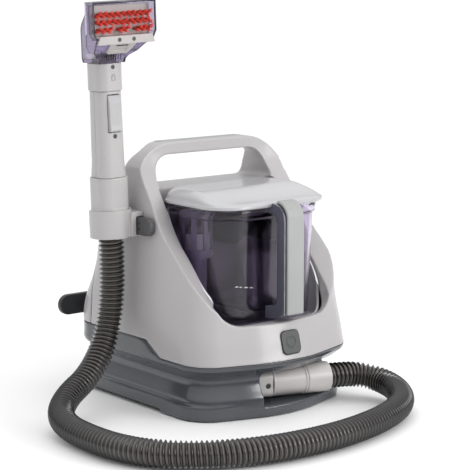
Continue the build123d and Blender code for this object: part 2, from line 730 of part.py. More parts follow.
def wand_block(low, high, low_size, high_size, radius):
    """Stretch of the wand with a rounded square section that changes size from its low to its high end."""
    faces = [Pos(WAND_X, WAND_Y, low) * rectangle_face(*low_size, radius),
             Pos(WAND_X, WAND_Y, high) * rectangle_face(*high_size, radius)]
    return loft(faces, ruled=True)


def wand_span(x0, x1, y0, y1, z0, z1):
    """Block with X and Y measured from the upright wand axis."""
    return span(WAND_X + x0, WAND_X + x1, WAND_Y + y0, WAND_Y + y1, z0, z1)


def wand_rod(y0, y1, z, radius, x=0.0):
    """Cylinder across the wand from front to back."""
    return rod_between((WAND_X + x, WAND_Y + y0, z), (WAND_X + x, WAND_Y + y1, z), radius)


def make_wand_collar():
    """Lower collar, and the spigot that stands in the holder ring."""
    collar = wand_block(RING_HIGH + 0.5, COLLAR_TOP, (44, 44), (44, 44), 15.5)
    body = collar + rod(WAND_X, WAND_Y, RING_LOW, RING_HIGH + 1, 24.8)
    body -= rod(WAND_X, WAND_Y, 200, 320, 17.6)
    return lean(body + tube(WAND_X, WAND_Y, RING_LOW, RING_LOW + 3, 20.0, 8.0))


def grip_outer():
    """Outer form of the grip, flared towards the collar."""
    flare = wand_block(COLLAR_TOP + 0.2, COLLAR_TOP + 26, (40, 40), (37, 38), 13.5)
    return flare + wand_block(COLLAR_TOP + 26, GRIP_TOP, (37, 38), (35.5, 36.6), 12.5)


def make_grips():
    """Front and back halves of the hollow grip."""
    inner = wand_block(COLLAR_TOP + 0.2, GRIP_TOP, (33, 33), (30, 31), 10)
    full = grip_outer() - inner
    front = full & wand_span(-40, 40, -50, -0.1, 290, 430)
    back = full & wand_span(-40, 40, 0.1, 60, 290, 430)
    slot_points = [(WAND_X - 9.5, TRIGGER_LOW - 1), (WAND_X + 9.5, TRIGGER_LOW - 1),
                   (WAND_X + 9.5, GRIP_TOP - 4), (WAND_X - 9.5, GRIP_TOP - 4)]
    front -= front_prism(slot_points, [1, 1, 1.4, 1.4], WAND_Y - 40, WAND_Y - 8)
    hinge_y, hinge_z = TRIGGER_HINGE
    for side in (-1, 1):
        inner_x, outer_x = sorted((side * 9.8, side * 12.0))
        front += wand_span(inner_x, outer_x, -16.5, -9.5, hinge_z - 5, hinge_z + 4)
    front -= rod_between((WAND_X - 12.0, hinge_y, hinge_z), (WAND_X + 12.0, hinge_y, hinge_z), 1.3)
    for z in GRIP_SCREWS:
        front -= screw_hole(WAND_X, WAND_Y + GRIP_FACE - 0.3, z, (0, 1, 0), head=2.8, length=4.0)
    return lean(front), lean(back)


def make_wand_neck():
    """Neck above the grip that takes the brush head."""
    neck = wand_block(GRIP_TOP + 0.2, NECK_TOP - 0.3, (38.5, 39.5), (38.5, 39), 13)
    neck -= wand_block(GRIP_TOP - 1, NECK_TOP, (33, 34), (33, 33), 10)
    spigot = tube(WAND_X, WAND_Y, GRIP_TOP + 0.2, NECK_TOP + 12, 15.0, 2.0)
    web = wand_block(GRIP_TOP + 3, GRIP_TOP + 6, (35, 36), (35, 36), 10) - rod(WAND_X, WAND_Y, 400, 470, 14.0)
    neck = neck + spigot + web
    return lean(neck - screw_hole(WAND_X, WAND_Y - 19.6, NECK_TOP - 5, (0, 1, 0), head=2.6, length=0.5))


def make_wand_tube():
    """Suction tube up the middle of the grip."""
    return lean(tube(WAND_X, WAND_Y + 4, COLLAR_TOP + 0.3, GRIP_TOP, 11.0, 1.5))


def make_spray_valve():
    """Spray valve in front of the suction tube."""
    return lean(wand_rod(-12.6, -7.2, VALVE_Z, 5.5) - wand_rod(-14.0, -8.6, VALVE_Z, 2.6))


def make_valve_stem():
    """Stem that the trigger pushes into the spray valve."""
    return lean(wand_rod(-14.6, -10.6, VALVE_Z, 2.25))


def make_trigger():
    """Long trigger, hinged at its top end, with a lip at the lower end."""
    y, top = WAND_Y, GRIP_TOP
    points = [(y - 15.0, top - 5), (y - 15.0, TRIGGER_LOW), (y - 24.0, TRIGGER_LOW),
              (y - 22.4, TRIGGER_LOW + 8), (y - 21.2, top - 14), (y - 18.6, top - 5)]
    lever = side_prism(points, [1, 1, 2.5, 5, 6, 1.5], WAND_X - 9.0, WAND_X + 9.0)
    hinge_y, hinge_z = TRIGGER_HINGE
    lever += rod_between((WAND_X - 9.0, hinge_y, hinge_z), (WAND_X + 9.0, hinge_y, hinge_z), 2.7)
    return lean(lever - rod_between((WAND_X - 20, hinge_y, hinge_z), (WAND_X + 20, hinge_y, hinge_z), 1.32))


def make_trigger_pin():
    """Hinge pin of the trigger."""
    hinge_y, hinge_z = TRIGGER_HINGE
    return lean(rod_between((WAND_X - 11.9, hinge_y, hinge_z), (WAND_X + 11.9, hinge_y, hinge_z), 1.25))


def make_trigger_spring():
    """Return spring between the trigger and the suction tube, as a plain sleeve."""
    z = TRIGGER_LOW + 14
    return lean(wand_rod(-14.8, -7.2, z, 2.8) - wand_rod(-16, -5, z, 2.0))


def make_wand_screws():
    """Screws in the front of the grip and the neck."""
    face = WAND_Y + GRIP_FACE - 0.3
    pieces = [screw(WAND_X, face, z, (0, 1, 0), head=2.8, length=4.0) for z in GRIP_SCREWS]
    pieces.append(screw(WAND_X, WAND_Y - 19.6, NECK_TOP - 5, (0, 1, 0), head=2.6, length=0.5))
    return [lean(piece) for piece in pieces]


# ---------------------------------------------------------------- brush head
HEAD_LOW = HEAD_TOP - 47.0          # lower edge of the mouth
HEAD_SCREWS = [(WAND_X - 11.0, MOUTH_Y - 3.4, HEAD_LOW - 0.5), (WAND_X + 11.0, MOUTH_Y - 3.4, HEAD_LOW - 0.5)]


def head_form(inset):
    """Form of the clear nozzle: wide mouth facing forward, funnel back and down to the neck."""
    y, t = WAND_Y, inset
    side = side_prism(
        [(MOUTH_Y, HEAD_LOW + t), (MOUTH_Y, HEAD_TOP - t), (y - 14, HEAD_TOP - t), (y + 20 - t, 500),
         (y + 19.5 - t, NECK_TOP), (y - 19 + t, NECK_TOP), (y - 19 + t, NECK_TOP + 8)],
        [0, 0, 14, 16, 0, 0, 4], WAND_X - 80, WAND_X + 80)
    half = MOUTH_HALF - t
    right = [(19.5 - t, NECK_TOP), (21 - t, NECK_TOP + 5), (34 - t, NECK_TOP + 15),
             (half, HEAD_LOW + 8), (half, HEAD_TOP + 20)]
    outline_points = [(WAND_X + x, z) for x, z in right] + [(WAND_X - x, z) for x, z in reversed(right)]
    front = front_prism(outline_points, [0, 3, 8, 8, 0, 0, 8, 8, 3, 0], -60, 90)
    plan_right = [(half, MOUTH_Y - 5), (half, MOUTH_Y + 18), (25 - t, y + 1), (20 - t, y + 24)]
    plan = [(WAND_X + x, z) for x, z in plan_right] + [(WAND_X - x, z) for x, z in reversed(plan_right)]
    return side & front & slab(plan, [0, 14, 14, 6, 6, 14, 14, 0], 400, 600)


def make_nozzle_window():
    """Clear nozzle with an open mouth and an open neck."""
    return lean(head_form(0) - head_form(2.2))


def make_brush_frame():
    """Plate behind the bristles, with a lower lip and a tongue under the nozzle."""
    plate = wand_span(-50, 50, MOUTH_Y - WAND_Y + 10, MOUTH_Y - WAND_Y + 13, HEAD_LOW, HEAD_TOP - 4)
    shelf = wand_span(-50, 50, MOUTH_Y - WAND_Y, MOUTH_Y - WAND_Y + 12, HEAD_LOW + 2.5, HEAD_LOW + 4.7)
    frame = (plate + shelf) & head_form(2.5)
    lip = [(-44, HEAD_LOW - 6), (44, HEAD_LOW - 6), (40, HEAD_LOW + 4.7), (-40, HEAD_LOW + 4.7)]
    frame += front_prism([(WAND_X + x, z) for x, z in lip], [1, 1, 0, 0], MOUTH_Y - 3.2, MOUTH_Y - 0.3)
    frame += wand_span(-38, 38, MOUTH_Y - WAND_Y - 1, MOUTH_Y - WAND_Y + 1, HEAD_LOW + 2.5, HEAD_LOW + 4.7)
    front, edge = MOUTH_Y - 3.2, HEAD_LOW - 0.6
    tongue_side = [(front, edge), (front + 2.9, edge), (-6.6, 468.6), (-8.6, 466.2)]
    tongue = side_prism(tongue_side, [0, 0, 0.5, 0.5], WAND_X - 30, WAND_X + 30)
    shape = [(-22, HEAD_LOW), (22, HEAD_LOW), (16, 466), (-16, 466)]
    frame += tongue & front_prism([(WAND_X + x, z) for x, z in shape], [0, 0, 5, 5], -60, 40)
    slot = Pos(WAND_X, -20.5, 476) * Rot(-37, 0, 0) * Box(20, 20, 3)
    frame -= slot
    for hole in screws(HEAD_SCREWS, (0, 1, 0), 2.4, 0.4, screw_hole):
        frame -= hole
    return lean(biggest(frame - head_form_shell()) + spray_tip())


def head_form_shell():
    """Wall of the nozzle with a little room around it."""
    return head_form(-0.2) - head_form(2.4)


def spray_tip():
    """Spray tip on the back of the plate, above the bristles."""
    tip = wand_span(-8, 8, MOUTH_Y - WAND_Y + 12.5, MOUTH_Y - WAND_Y + 24, HEAD_TOP - 14, HEAD_TOP - 6)
    return tip - wand_rod(MOUTH_Y - WAND_Y + 20, MOUTH_Y - WAND_Y + 30, HEAD_TOP - 10, 1.5)


BRISTLE_ROWS = [(HEAD_TOP - 16.0, [(-42, 42)]), (HEAD_TOP - 25.0, [(-42, 42)]),
                (HEAD_TOP - 34.0, [(-42, -16), (-7, 7), (18, 42)])]


def make_bristles():
    """Three rows of bristle tufts, each row as its tufts."""
    tufts = []
    for z, groups in BRISTLE_ROWS:
        for start, end in groups:
            count = max(2, round((end - start) / 7.0))
            for number in range(count):
                x = start + (end - start) * (number + 0.5) / count
                tufts.append(lean(wand_rod(MOUTH_Y - WAND_Y - 3.0, MOUTH_Y - WAND_Y + 10.0, z, 2.4, x)))
    return tufts


def make_head_screws():
    """Two screws in the brush frame."""
    return [lean(piece) for piece in screws(HEAD_SCREWS, (0, 1, 0), 2.4, 0.4, screw)]


# ---------------------------------------------------------------- assembly
def make_power_button():
    """Rounded square power button that slides in the sloping chin."""
    button = Pos(0, 0, -13) * rounded_square(30, 7, 13.8)
    ring = Cylinder(8.0, 1.2) - Cylinder(6.6, 2.0)
    button -= Pos(0, 0, 0.8) * (ring - Pos(0, 7, 0) * Box(5, 6, 4))
    button -= Pos(0, 5.6, 0.8) * Box(1.4, 5.6, 1.2)
    return chin_plane() * button


def make_nodes():
    """Every sub-part by its node name."""
    front, rear, cover, skirt = make_shells()
    grip_front, grip_back = make_grips()
    nodes = {
        "front_shell": biggest(front), "rear_shell": biggest(rear), "handle_cover": biggest(cover),
        "tank_bay": biggest(make_tank_bay()),
        "base_tray": biggest(make_base_tray(skirt)), "base_plate": make_base_plate(), "rubber_feet": make_feet(),
        "base_screws": screws(BASE_SCREWS, (0, 0, 1), 3.2, 5.0, screw),
        "motor_can": make_motor(), "motor_mounts": make_motor_mounts(), "motor_cradle": make_motor_cradle(),
        "fan_housing": make_fan_housing(), "fan_wheel": make_fan_wheel(), "fan_shaft": make_fan_shaft(),
        "suction_duct": make_suction_duct(), "exhaust_filter": make_exhaust_filter(),
        "exhaust_grille": make_exhaust_grille(), "pump_body": make_pump(), "pump_foot": make_pump_foot(),
        "water_lines": make_water_lines(), "riser_duct": make_riser_duct(), "tank_coupling": make_tank_coupling(),
        "power_switch": make_switch(), "control_board": make_control_board(),
        "cord_inlet": make_cord_inlet(), "cord_hooks": make_cord_hooks(),
        "wand_holder": make_wand_holder(), "case_screws": make_case_screws(),
        "holder_latch": make_holder_latch(), "latch_pin": make_latch_pin(),
        "hose_port": make_hose_port(), "hose_collar": make_hose_collar(),
        "hose_cuff": make_hose_cuff(), "hose": make_hose(),
        "power_button": make_power_button(),
        "jug_body": make_jug_body(), "inner_tank": make_inner_tank(),
        "jug_handle_frame": biggest(make_handle_frame()), "jug_handle_strap": make_handle_strap(),
        "standpipe": make_standpipe(), "float_cage": make_float_cage(), "outlet_valve": make_outlet_valve(),
        "lid": make_lid(), "lid_gasket": make_lid_gasket(), "float": make_float(),
        "wand_collar": make_wand_collar(), "grip_front": grip_front, "grip_back": grip_back,
        "wand_neck": make_wand_neck(), "wand_tube": make_wand_tube(), "spray_valve": make_spray_valve(),
        "valve_stem": make_valve_stem(), "trigger": make_trigger(), "trigger_pin": make_trigger_pin(),
        "trigger_spring": make_trigger_spring(), "wand_screws": make_wand_screws(),
        "nozzle_window": make_nozzle_window(), "brush_frame": make_brush_frame(),
        "bristles": make_bristles(), "head_screws": make_head_screws(),
    }
    return nodes


def solids_of(shape):
    """All solids of a shape or of a list of shapes."""
    if isinstance(shape, list):
        return [solid for piece in shape for solid in piece.solids()]
    return list(shape.solids())


def main():
    os.makedirs("parts", exist_ok=True)
    for name, shape in make_nodes().items():
        solids = solids_of(shape)
        node = solids[0] if len(solids) == 1 else Compound(children=solids)
        export_step(node, os.path.join("parts", name + ".step"))


main()
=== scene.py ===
import bpy
import bmesh
import json
import math
import random
from mathutils import Matrix, Vector


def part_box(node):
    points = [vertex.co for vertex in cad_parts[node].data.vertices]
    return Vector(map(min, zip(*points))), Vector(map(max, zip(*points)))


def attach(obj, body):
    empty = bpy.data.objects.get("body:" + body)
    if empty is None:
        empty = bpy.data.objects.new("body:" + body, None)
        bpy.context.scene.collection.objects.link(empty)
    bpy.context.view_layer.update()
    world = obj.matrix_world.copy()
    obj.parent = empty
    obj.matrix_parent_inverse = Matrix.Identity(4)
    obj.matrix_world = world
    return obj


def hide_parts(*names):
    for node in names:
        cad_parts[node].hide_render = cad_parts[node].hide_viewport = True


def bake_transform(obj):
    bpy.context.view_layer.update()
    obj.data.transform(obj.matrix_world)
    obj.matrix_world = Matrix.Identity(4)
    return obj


# Portable spot cleaner, dressed on its CAD frame. Lengths here are millimetres, turned to metres by MM.
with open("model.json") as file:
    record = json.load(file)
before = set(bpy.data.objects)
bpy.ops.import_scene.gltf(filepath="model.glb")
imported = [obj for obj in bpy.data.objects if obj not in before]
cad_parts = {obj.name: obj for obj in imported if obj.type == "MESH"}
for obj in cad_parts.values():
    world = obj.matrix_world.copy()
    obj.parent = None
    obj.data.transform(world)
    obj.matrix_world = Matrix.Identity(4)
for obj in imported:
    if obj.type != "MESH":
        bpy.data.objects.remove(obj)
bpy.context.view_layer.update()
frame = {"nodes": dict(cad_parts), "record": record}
nodes = frame["nodes"]
MM = 0.001
BODIES = frame["record"]["behaviour"]["bodies"]
BODY_OF = {node: body for body, members in BODIES.items() for node in members}


# ---------------------------------------------------------------- camera
CAMERA_PLACE = (-1.406, -1.782, 0.595)
CAMERA_DIRECTION = (0.6207, 0.7665, -0.1650)
CAMERA_LENS, CAMERA_SENSOR = 130.2, 36.0


def make_camera():
    """Long lens 0.6 m above the floor, 39 degrees round to the machine's left."""
    data = bpy.data.cameras.new("camera")
    data.lens = CAMERA_LENS
    data.sensor_width = CAMERA_SENSOR
    camera = bpy.data.objects.new("camera", data)
    bpy.context.scene.collection.objects.link(camera)
    camera.location = CAMERA_PLACE
    camera.rotation_euler = Vector(CAMERA_DIRECTION).to_track_quat("-Z", "Y").to_euler()
    bpy.context.scene.camera = camera


make_camera()


# ---------------------------------------------------------------- materials
def new_material(name):
    """Empty node material with its shader."""
    material = bpy.data.materials.new(name)
    material.use_nodes = True
    return material, material.node_tree, material.node_tree.nodes["Principled BSDF"]


def noise(tree, scale, detail=3.0, roughness=0.5):
    """Noise in the object's own metres."""
    place = tree.nodes.new("ShaderNodeTexCoord")
    texture = tree.nodes.new("ShaderNodeTexNoise")
    texture.inputs["Scale"].default_value = scale
    texture.inputs["Detail"].default_value = detail
    texture.inputs["Roughness"].default_value = roughness
    tree.links.new(place.outputs["Object"], texture.inputs["Vector"])
    return texture.outputs["Fac"]


def ramp(tree, value, low, high, start=0.3, end=0.7):
    """Colour or grey that runs from low to high as the value does."""
    node = tree.nodes.new("ShaderNodeValToRGB")
    node.color_ramp.elements[0].position = start
    node.color_ramp.elements[1].position = end
    node.color_ramp.elements[0].color = (*low, 1.0)
    node.color_ramp.elements[1].color = (*high, 1.0)
    tree.links.new(value, node.inputs["Fac"])
    return node.outputs["Color"]


def map_range(tree, value, low, high):
    """The value's middle range, stretched between low and high."""
    node = tree.nodes.new("ShaderNodeMapRange")
    node.inputs["From Min"].default_value = 0.25
    node.inputs["From Max"].default_value = 0.75
    node.inputs["To Min"].default_value = low
    node.inputs["To Max"].default_value = high
    tree.links.new(value, node.inputs["Value"])
    return node.outputs["Result"]


def bump(tree, shader, value, strength, distance):
    """Surface relief from a value."""
    node = tree.nodes.new("ShaderNodeBump")
    node.inputs["Strength"].default_value = strength
    node.inputs["Distance"].default_value = distance
    tree.links.new(value, node.inputs["Height"])
    tree.links.new(node.outputs["Normal"], shader.inputs["Normal"])


def plastic(name, colour, rough=0.4, grain=1400.0, relief=0.12, spread=0.05, coat=0.0, soft=0.0,
            drift=0.02):
    """Moulded plastic: slow colour drift, patchy gloss and a fine spark-eroded grain."""
    material, tree, shader = new_material(name)
    low = tuple(c * (1.0 - spread) for c in colour)
    high = tuple(min(1.0, c * (1.0 + spread)) for c in colour)
    tree.links.new(ramp(tree, noise(tree, 14.0, 4.0), low, high), shader.inputs["Base Color"])
    gloss = map_range(tree, noise(tree, 22.0, 3.0), rough - drift, rough + drift)
    tree.links.new(gloss, shader.inputs["Roughness"])
    bump(tree, shader, noise(tree, grain, 2.0), relief, 0.0001)
    shader.inputs["Coat Weight"].default_value = coat
    shader.inputs["Coat Roughness"].default_value = 0.15
    shader.inputs["Subsurface Weight"].default_value = soft
    shader.inputs["Subsurface Radius"].default_value = (0.004, 0.0035, 0.003)
    return material


def clear_plastic(name, colour, rough=0.05, pass_through=1.0):
    """Smoked clear plastic, with a slow ripple from moulding and light scuffs."""
    material, tree, shader = new_material(name)
    low = tuple(c * 0.94 for c in colour)
    tree.links.new(ramp(tree, noise(tree, 9.0, 2.0), low, colour), shader.inputs["Base Color"])
    scuffs = map_range(tree, noise(tree, 220.0, 6.0, 0.7), rough, rough + 0.04)
    tree.links.new(scuffs, shader.inputs["Roughness"])
    bump(tree, shader, noise(tree, 12.0, 1.0), 0.01, 0.0002)
    shader.inputs["Transmission Weight"].default_value = pass_through
    shader.inputs["IOR"].default_value = 1.42
    return material


def metal(name, colour, rough=0.3):
    """Turned steel with fine brushing."""
    material, tree, shader = new_material(name)
    low = tuple(c * 0.8 for c in colour)
    tree.links.new(ramp(tree, noise(tree, 700.0, 3.0), low, colour), shader.inputs["Base Color"])
    brushing = map_range(tree, noise(tree, 900.0, 4.0), rough - 0.1, rough + 0.15)
    tree.links.new(brushing, shader.inputs["Roughness"])
    bump(tree, shader, noise(tree, 1800.0, 2.0), 0.2, 0.0001)
    shader.inputs["Metallic"].default_value = 1.0
    return material


def foam(name, colour):
    """Open-cell foam."""
    material, tree, shader = new_material(name)
    cells = tree.nodes.new("ShaderNodeTexVoronoi")
    cells.inputs["Scale"].default_value = 900.0
    dark = tuple(c * 0.3 for c in colour)
    tree.links.new(ramp(tree, cells.outputs["Distance"], dark, colour), shader.inputs["Base Color"])
    tree.links.new(map_range(tree, noise(tree, 300.0), 0.8, 0.95), shader.inputs["Roughness"])
    bump(tree, shader, cells.outputs["Distance"], 0.8, 0.0006)
    return material


def hose_material():
    """Ribbed dark vinyl; its paler valleys are painted highlight and its darker crests painted shade."""
    material, tree, shader = new_material("hose_vinyl")
    rib = tree.nodes.new("ShaderNodeAttribute")
    rib.attribute_name = "crest"
    # painted light and shade along the ribs: pale valleys as highlight, dark crests as shade
    base = ramp(tree, rib.outputs["Fac"], (0.125, 0.108, 0.094), (0.007, 0.006, 0.006), 0.0, 0.4)
    drift = ramp(tree, noise(tree, 18.0, 3.0), (0.82, 0.82, 0.84), (1.0, 1.0, 1.0))
    mix = tree.nodes.new("ShaderNodeMix")
    mix.data_type = "RGBA"
    mix.blend_type = "MULTIPLY"
    mix.inputs["Factor"].default_value = 1.0
    tree.links.new(base, mix.inputs["A"])
    tree.links.new(drift, mix.inputs["B"])
    tree.links.new(mix.outputs["Result"], shader.inputs["Base Color"])
    tree.links.new(map_range(tree, noise(tree, 160.0, 4.0), 0.16, 0.28), shader.inputs["Roughness"])
    bump(tree, shader, noise(tree, 500.0, 2.0), 0.08, 0.0002)
    shader.inputs["Coat Weight"].default_value = 0.5
    shader.inputs["Coat Roughness"].default_value = 0.12
    return material


# the even finish of the large pale mouldings
MOULDED = {"spread": 0.012, "soft": 0.03, "drift": 0.006}
SHELL = plastic("shell_white", (0.425, 0.412, 0.415), rough=0.36, relief=0.03, coat=0.3, **MOULDED)
# painted shade: the handle's rear cover is the shell's pale plastic, made grey for the shade and dark
# reflection on top of the handle
HANDLE_SHADE = plastic("handle_grey", (0.33, 0.335, 0.345), rough=0.5, relief=0.3, grain=900.0)
BAY = plastic("bay_grey", (0.72, 0.72, 0.74), rough=0.45)
BASE = plastic("base_slate", (0.050, 0.055, 0.064), rough=0.24, relief=0.04, coat=0.6)
BLACK = plastic("under_black", (0.02, 0.02, 0.022), rough=0.6, relief=0.4)
RUBBER = plastic("rubber_black", (0.015, 0.015, 0.015), rough=0.75, relief=0.5)
STEEL = metal("screw_steel", (0.10, 0.10, 0.10), rough=0.4)
MOTOR = metal("motor_metal", (0.55, 0.56, 0.58), rough=0.4)
INNER = plastic("inner_grey", (0.20, 0.21, 0.22), rough=0.5)
FAN_WHITE = plastic("fan_white", (0.68, 0.68, 0.66), rough=0.45)
FOAM = foam("filter_foam", (0.09, 0.09, 0.09))
GRILLE = plastic("grille_grey", (0.07, 0.075, 0.08), rough=0.4)
LINES = clear_plastic("tube_clear", (0.75, 0.75, 0.70), rough=0.2, pass_through=0.8)
BOARD = plastic("board_green", (0.02, 0.13, 0.05), rough=0.35, relief=0.5)
HOOK = plastic("hook_charcoal", (0.022, 0.023, 0.027), rough=0.42, relief=0.2)
WAND = plastic("wand_white", (0.44, 0.428, 0.425), rough=0.33, relief=0.06, coat=0.15, **MOULDED)
LATCH = plastic("latch_grey", (0.065, 0.065, 0.068), rough=0.4)
PORT = plastic("port_white", (0.53, 0.51, 0.50), rough=0.36, coat=0.12, **MOULDED)
BUTTON = plastic("button_grey", (0.055, 0.057, 0.057), rough=0.42, relief=0.25)
JUG = clear_plastic("jug_smoke", (0.72, 0.66, 0.80))
TANK = clear_plastic("tank_smoke", (0.88, 0.84, 0.91), rough=0.05)
HANDLE_FRAME = clear_plastic("handle_smoke", (0.12, 0.12, 0.16), rough=0.14, pass_through=0.35)
STRAP = plastic("strap_grey", (0.34, 0.345, 0.34), rough=0.5, relief=0.3, grain=1000.0)
PIPE = plastic("pipe_grey", (0.24, 0.22, 0.28), rough=0.4)
FLOAT = plastic("float_grey", (0.45, 0.45, 0.45), rough=0.4)
MARKS = plastic("mark_white", (0.8, 0.8, 0.8), rough=0.5)
LID = plastic("lid_white", (0.44, 0.44, 0.452), rough=0.2, relief=0.02, coat=0.8, **MOULDED)
# painted highlight: pale bars along the handle's edges stand in for the thin highlights there
EDGE_HIGHLIGHT = plastic("edge_painted_highlight", (0.42, 0.42, 0.44), rough=0.25)
TRIGGER = plastic("trigger_grey", (0.42, 0.42, 0.425), rough=0.4, relief=0.15)
HEAD = clear_plastic("head_smoke", (0.50, 0.45, 0.58), rough=0.04)
HEAD_RIM = plastic("head_rim_smoke", (0.035, 0.036, 0.055), rough=0.2, relief=0.05, coat=0.5)
FRAME_BEIGE = plastic("frame_beige", (0.42, 0.395, 0.385), rough=0.4, spread=0.03)
# painted shade: dark bars that stand in for the shade inside slots
SLOT_SHADE = plastic("slot_painted_shade", (0.012, 0.012, 0.014), rough=0.5, relief=0.2)
BRISTLE = plastic("bristle_red", (0.74, 0.075, 0.05), rough=0.35, relief=0.1, spread=0.2)
HOSE = hose_material()

CAD_LOOKS = {
    BLACK: ["base_plate"],
    RUBBER: ["rubber_feet", "pump_foot", "motor_mounts", "cord_inlet", "lid_gasket"],
    STEEL: ["base_screws", "case_screws", "wand_screws", "head_screws", "latch_pin", "trigger_pin",
            "fan_shaft"],
    MOTOR: ["motor_can"],
    INNER: ["motor_cradle", "fan_housing", "suction_duct", "riser_duct", "tank_coupling",
            "power_switch", "pump_body"],
    FOAM: ["exhaust_filter"],
    GRILLE: ["exhaust_grille"],
    LINES: ["water_lines"],
    BOARD: ["control_board"],
    BAY: ["tank_bay"],
    PIPE: ["standpipe", "float_cage", "outlet_valve"],
    FLOAT: ["float"],
    FAN_WHITE: ["fan_wheel", "wand_tube", "spray_valve", "valve_stem"],
    HEAD: ["nozzle_window"],
}


def dress_cad_nodes():
    """Material for every CAD node that is shown as it is."""
    for material, names in CAD_LOOKS.items():
        for name in names:
            nodes[name].data.materials.clear()
            nodes[name].data.materials.append(material)


# ---------------------------------------------------------------- mesh helpers
def place(name, mesh, material, body, replaced=()):
    """Puts a mesh in the scene as a piece that rides on a body."""
    piece = bpy.data.objects.new(name, mesh)
    bpy.context.scene.collection.objects.link(piece)
    mesh.materials.clear()
    mesh.materials.append(material)
    if replaced:
        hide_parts(*replaced)
    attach(piece, body)


def mesh_from(name, build):
    """Mesh from a bmesh builder that works in millimetres."""
    work = bmesh.new()
    build(work)
    bmesh.ops.scale(work, vec=(MM, MM, MM), verts=work.verts)
    bmesh.ops.recalc_face_normals(work, faces=work.faces)
    mesh = bpy.data.meshes.new(name)
    work.to_mesh(mesh)
    work.free()
    mesh.polygons.foreach_set("use_smooth", [True] * len(mesh.polygons))
    return mesh


def skin(name, sections):
    """Closed mesh over a row of rings that have the same number of points."""
    def build(work):
        rings = [[work.verts.new(point) for point in section] for section in sections]
        count = len(rings[0])
        for lower, upper in zip(rings, rings[1:]):
            for i in range(count):
                j = (i + 1) % count
                work.faces.new((lower[i], lower[j], upper[j], upper[i]))
        work.faces.new(rings[0][::-1])
        work.faces.new(rings[-1])
    return mesh_from(name, build)


def plan(x0, x1, y0, y1, radii, count=144):
    """Rounded rectangle in plan, evenly spaced, from the left front corner round to the left."""
    corners = [(x0, y0, radii[0], 180, 1, 1), (x1, y0, radii[1], 270, -1, 1),
               (x1, y1, radii[2], 0, -1, -1), (x0, y1, radii[3], 90, 1, -1)]
    points = []
    for x, y, radius, start, inward_x, inward_y in corners:
        for step in range(13):
            angle = math.radians(start + 90.0 * step / 12)
            points.append(Vector((x + inward_x * radius + radius * math.cos(angle),
                                  y + inward_y * radius + radius * math.sin(angle))))
    return evenly(points, count)


def evenly(points, count):
    """Closed line through the points, cut into equal steps."""
    lengths = [0.0]
    loop = points + [points[0]]
    for a, b in zip(loop, loop[1:]):
        lengths.append(lengths[-1] + (b - a).length)
    result = []
    index = 0
    for step in range(count):
        target = lengths[-1] * step / count
        while lengths[index + 1] < target:
            index += 1
        share = (target - lengths[index]) / max(1e-9, lengths[index + 1] - lengths[index])
        result.append(loop[index].lerp(loop[index + 1], share))
    return result


def cylinder(work, start, end, radius, tip=1.0, sides=6):
    """Small round bar between two points, tapered towards its end."""
    start, end = Vector(start), Vector(end)
    along = (end - start).normalized()
    across = along.orthogonal().normalized()
    up = along.cross(across)
    rings = []
    for centre, size in ((start, radius), (end, radius * tip)):
        ring = []
        for i in range(sides):
            angle = 2 * math.pi * i / sides
            outward = across * math.cos(angle) + up * math.sin(angle)
            ring.append(work.verts.new(centre + outward * size))
        rings.append(ring)
    for i in range(sides):
        j = (i + 1) % sides
        work.faces.new((rings[0][i], rings[0][j], rings[1][j], rings[1][i]))
    work.faces.new(rings[0][::-1])
    work.faces.new(rings[1])


def round_line(points, radius, sides=10):
    """Round bar along an open or closed row of points, as a builder for mesh_from."""
    def build(work):
        for start, end in zip(points, points[1:]):
            cylinder(work, start, end, radius, 1.0, sides)
            joint = Matrix.Translation(end)
            bmesh.ops.create_icosphere(work, subdivisions=2, radius=radius, matrix=joint)
    return build


def moulded(node, material, voxel, passes):
    """The CAD node's form with the rounded edges of a moulding, in its place."""
    source = nodes[node].data.copy()
    piece = bpy.data.objects.new(node + "_work", source)
    bpy.context.scene.collection.objects.link(piece)
    remesh = piece.modifiers.new("remesh", "REMESH")
    remesh.mode = "VOXEL"
    remesh.voxel_size = voxel * MM
    smooth = piece.modifiers.new("smooth", "SMOOTH")
    smooth.factor = 0.5
    smooth.iterations = passes
    ready = piece.evaluated_get(bpy.context.evaluated_depsgraph_get())
    mesh = bpy.data.meshes.new_from_object(ready)
    bpy.data.objects.remove(piece)
    mesh.name = node + "_form"
    mesh.polygons.foreach_set("use_smooth", [True] * len(mesh.polygons))
    place(node + "_form", mesh, material, BODY_OF[node], [node])


# ---------------------------------------------------------------- hose
# the hose's route, from the wand's lower end round the front of the machine to its cuff
HOSE_ROUTE = [
    (-153.96, 21.5, 226.7), (-152.8, 21.5, 191.0), (-153.5, 21.5, 148.0), (-161.0, 20.0, 108.0),
    (-180.0, 12.0, 74.0), (-211.0, -1.0, 49.0), (-249.0, -15.0, 36.0), (-281.0, -43.0, 24.0),
    (-297.0, -87.0, 19.0), (-301.0, -140.0, 18.0), (-297.0, -196.0, 17.6), (-276.0, -244.0, 17.5),
    (-234.0, -282.0, 17.5), (-182.0, -306.0, 17.5), (-124.0, -317.0, 17.5), (-66.0, -318.0, 17.5),
    (-10.0, -310.0, 17.6), (44.0, -294.0, 17.8), (92.0, -270.0, 18.4), (126.0, -238.0, 20.0),
    (143.0, -203.0, 23.0), (141.0, -173.0, 28.0), (123.0, -155.5, 33.0), (100.8, -148.87, 35.0),
    (78.69, -142.7, 35.0),
]
HOSE_RADIUS = 17.0
HOSE_VALLEY = 3.3
HOSE_PITCH = 6.2


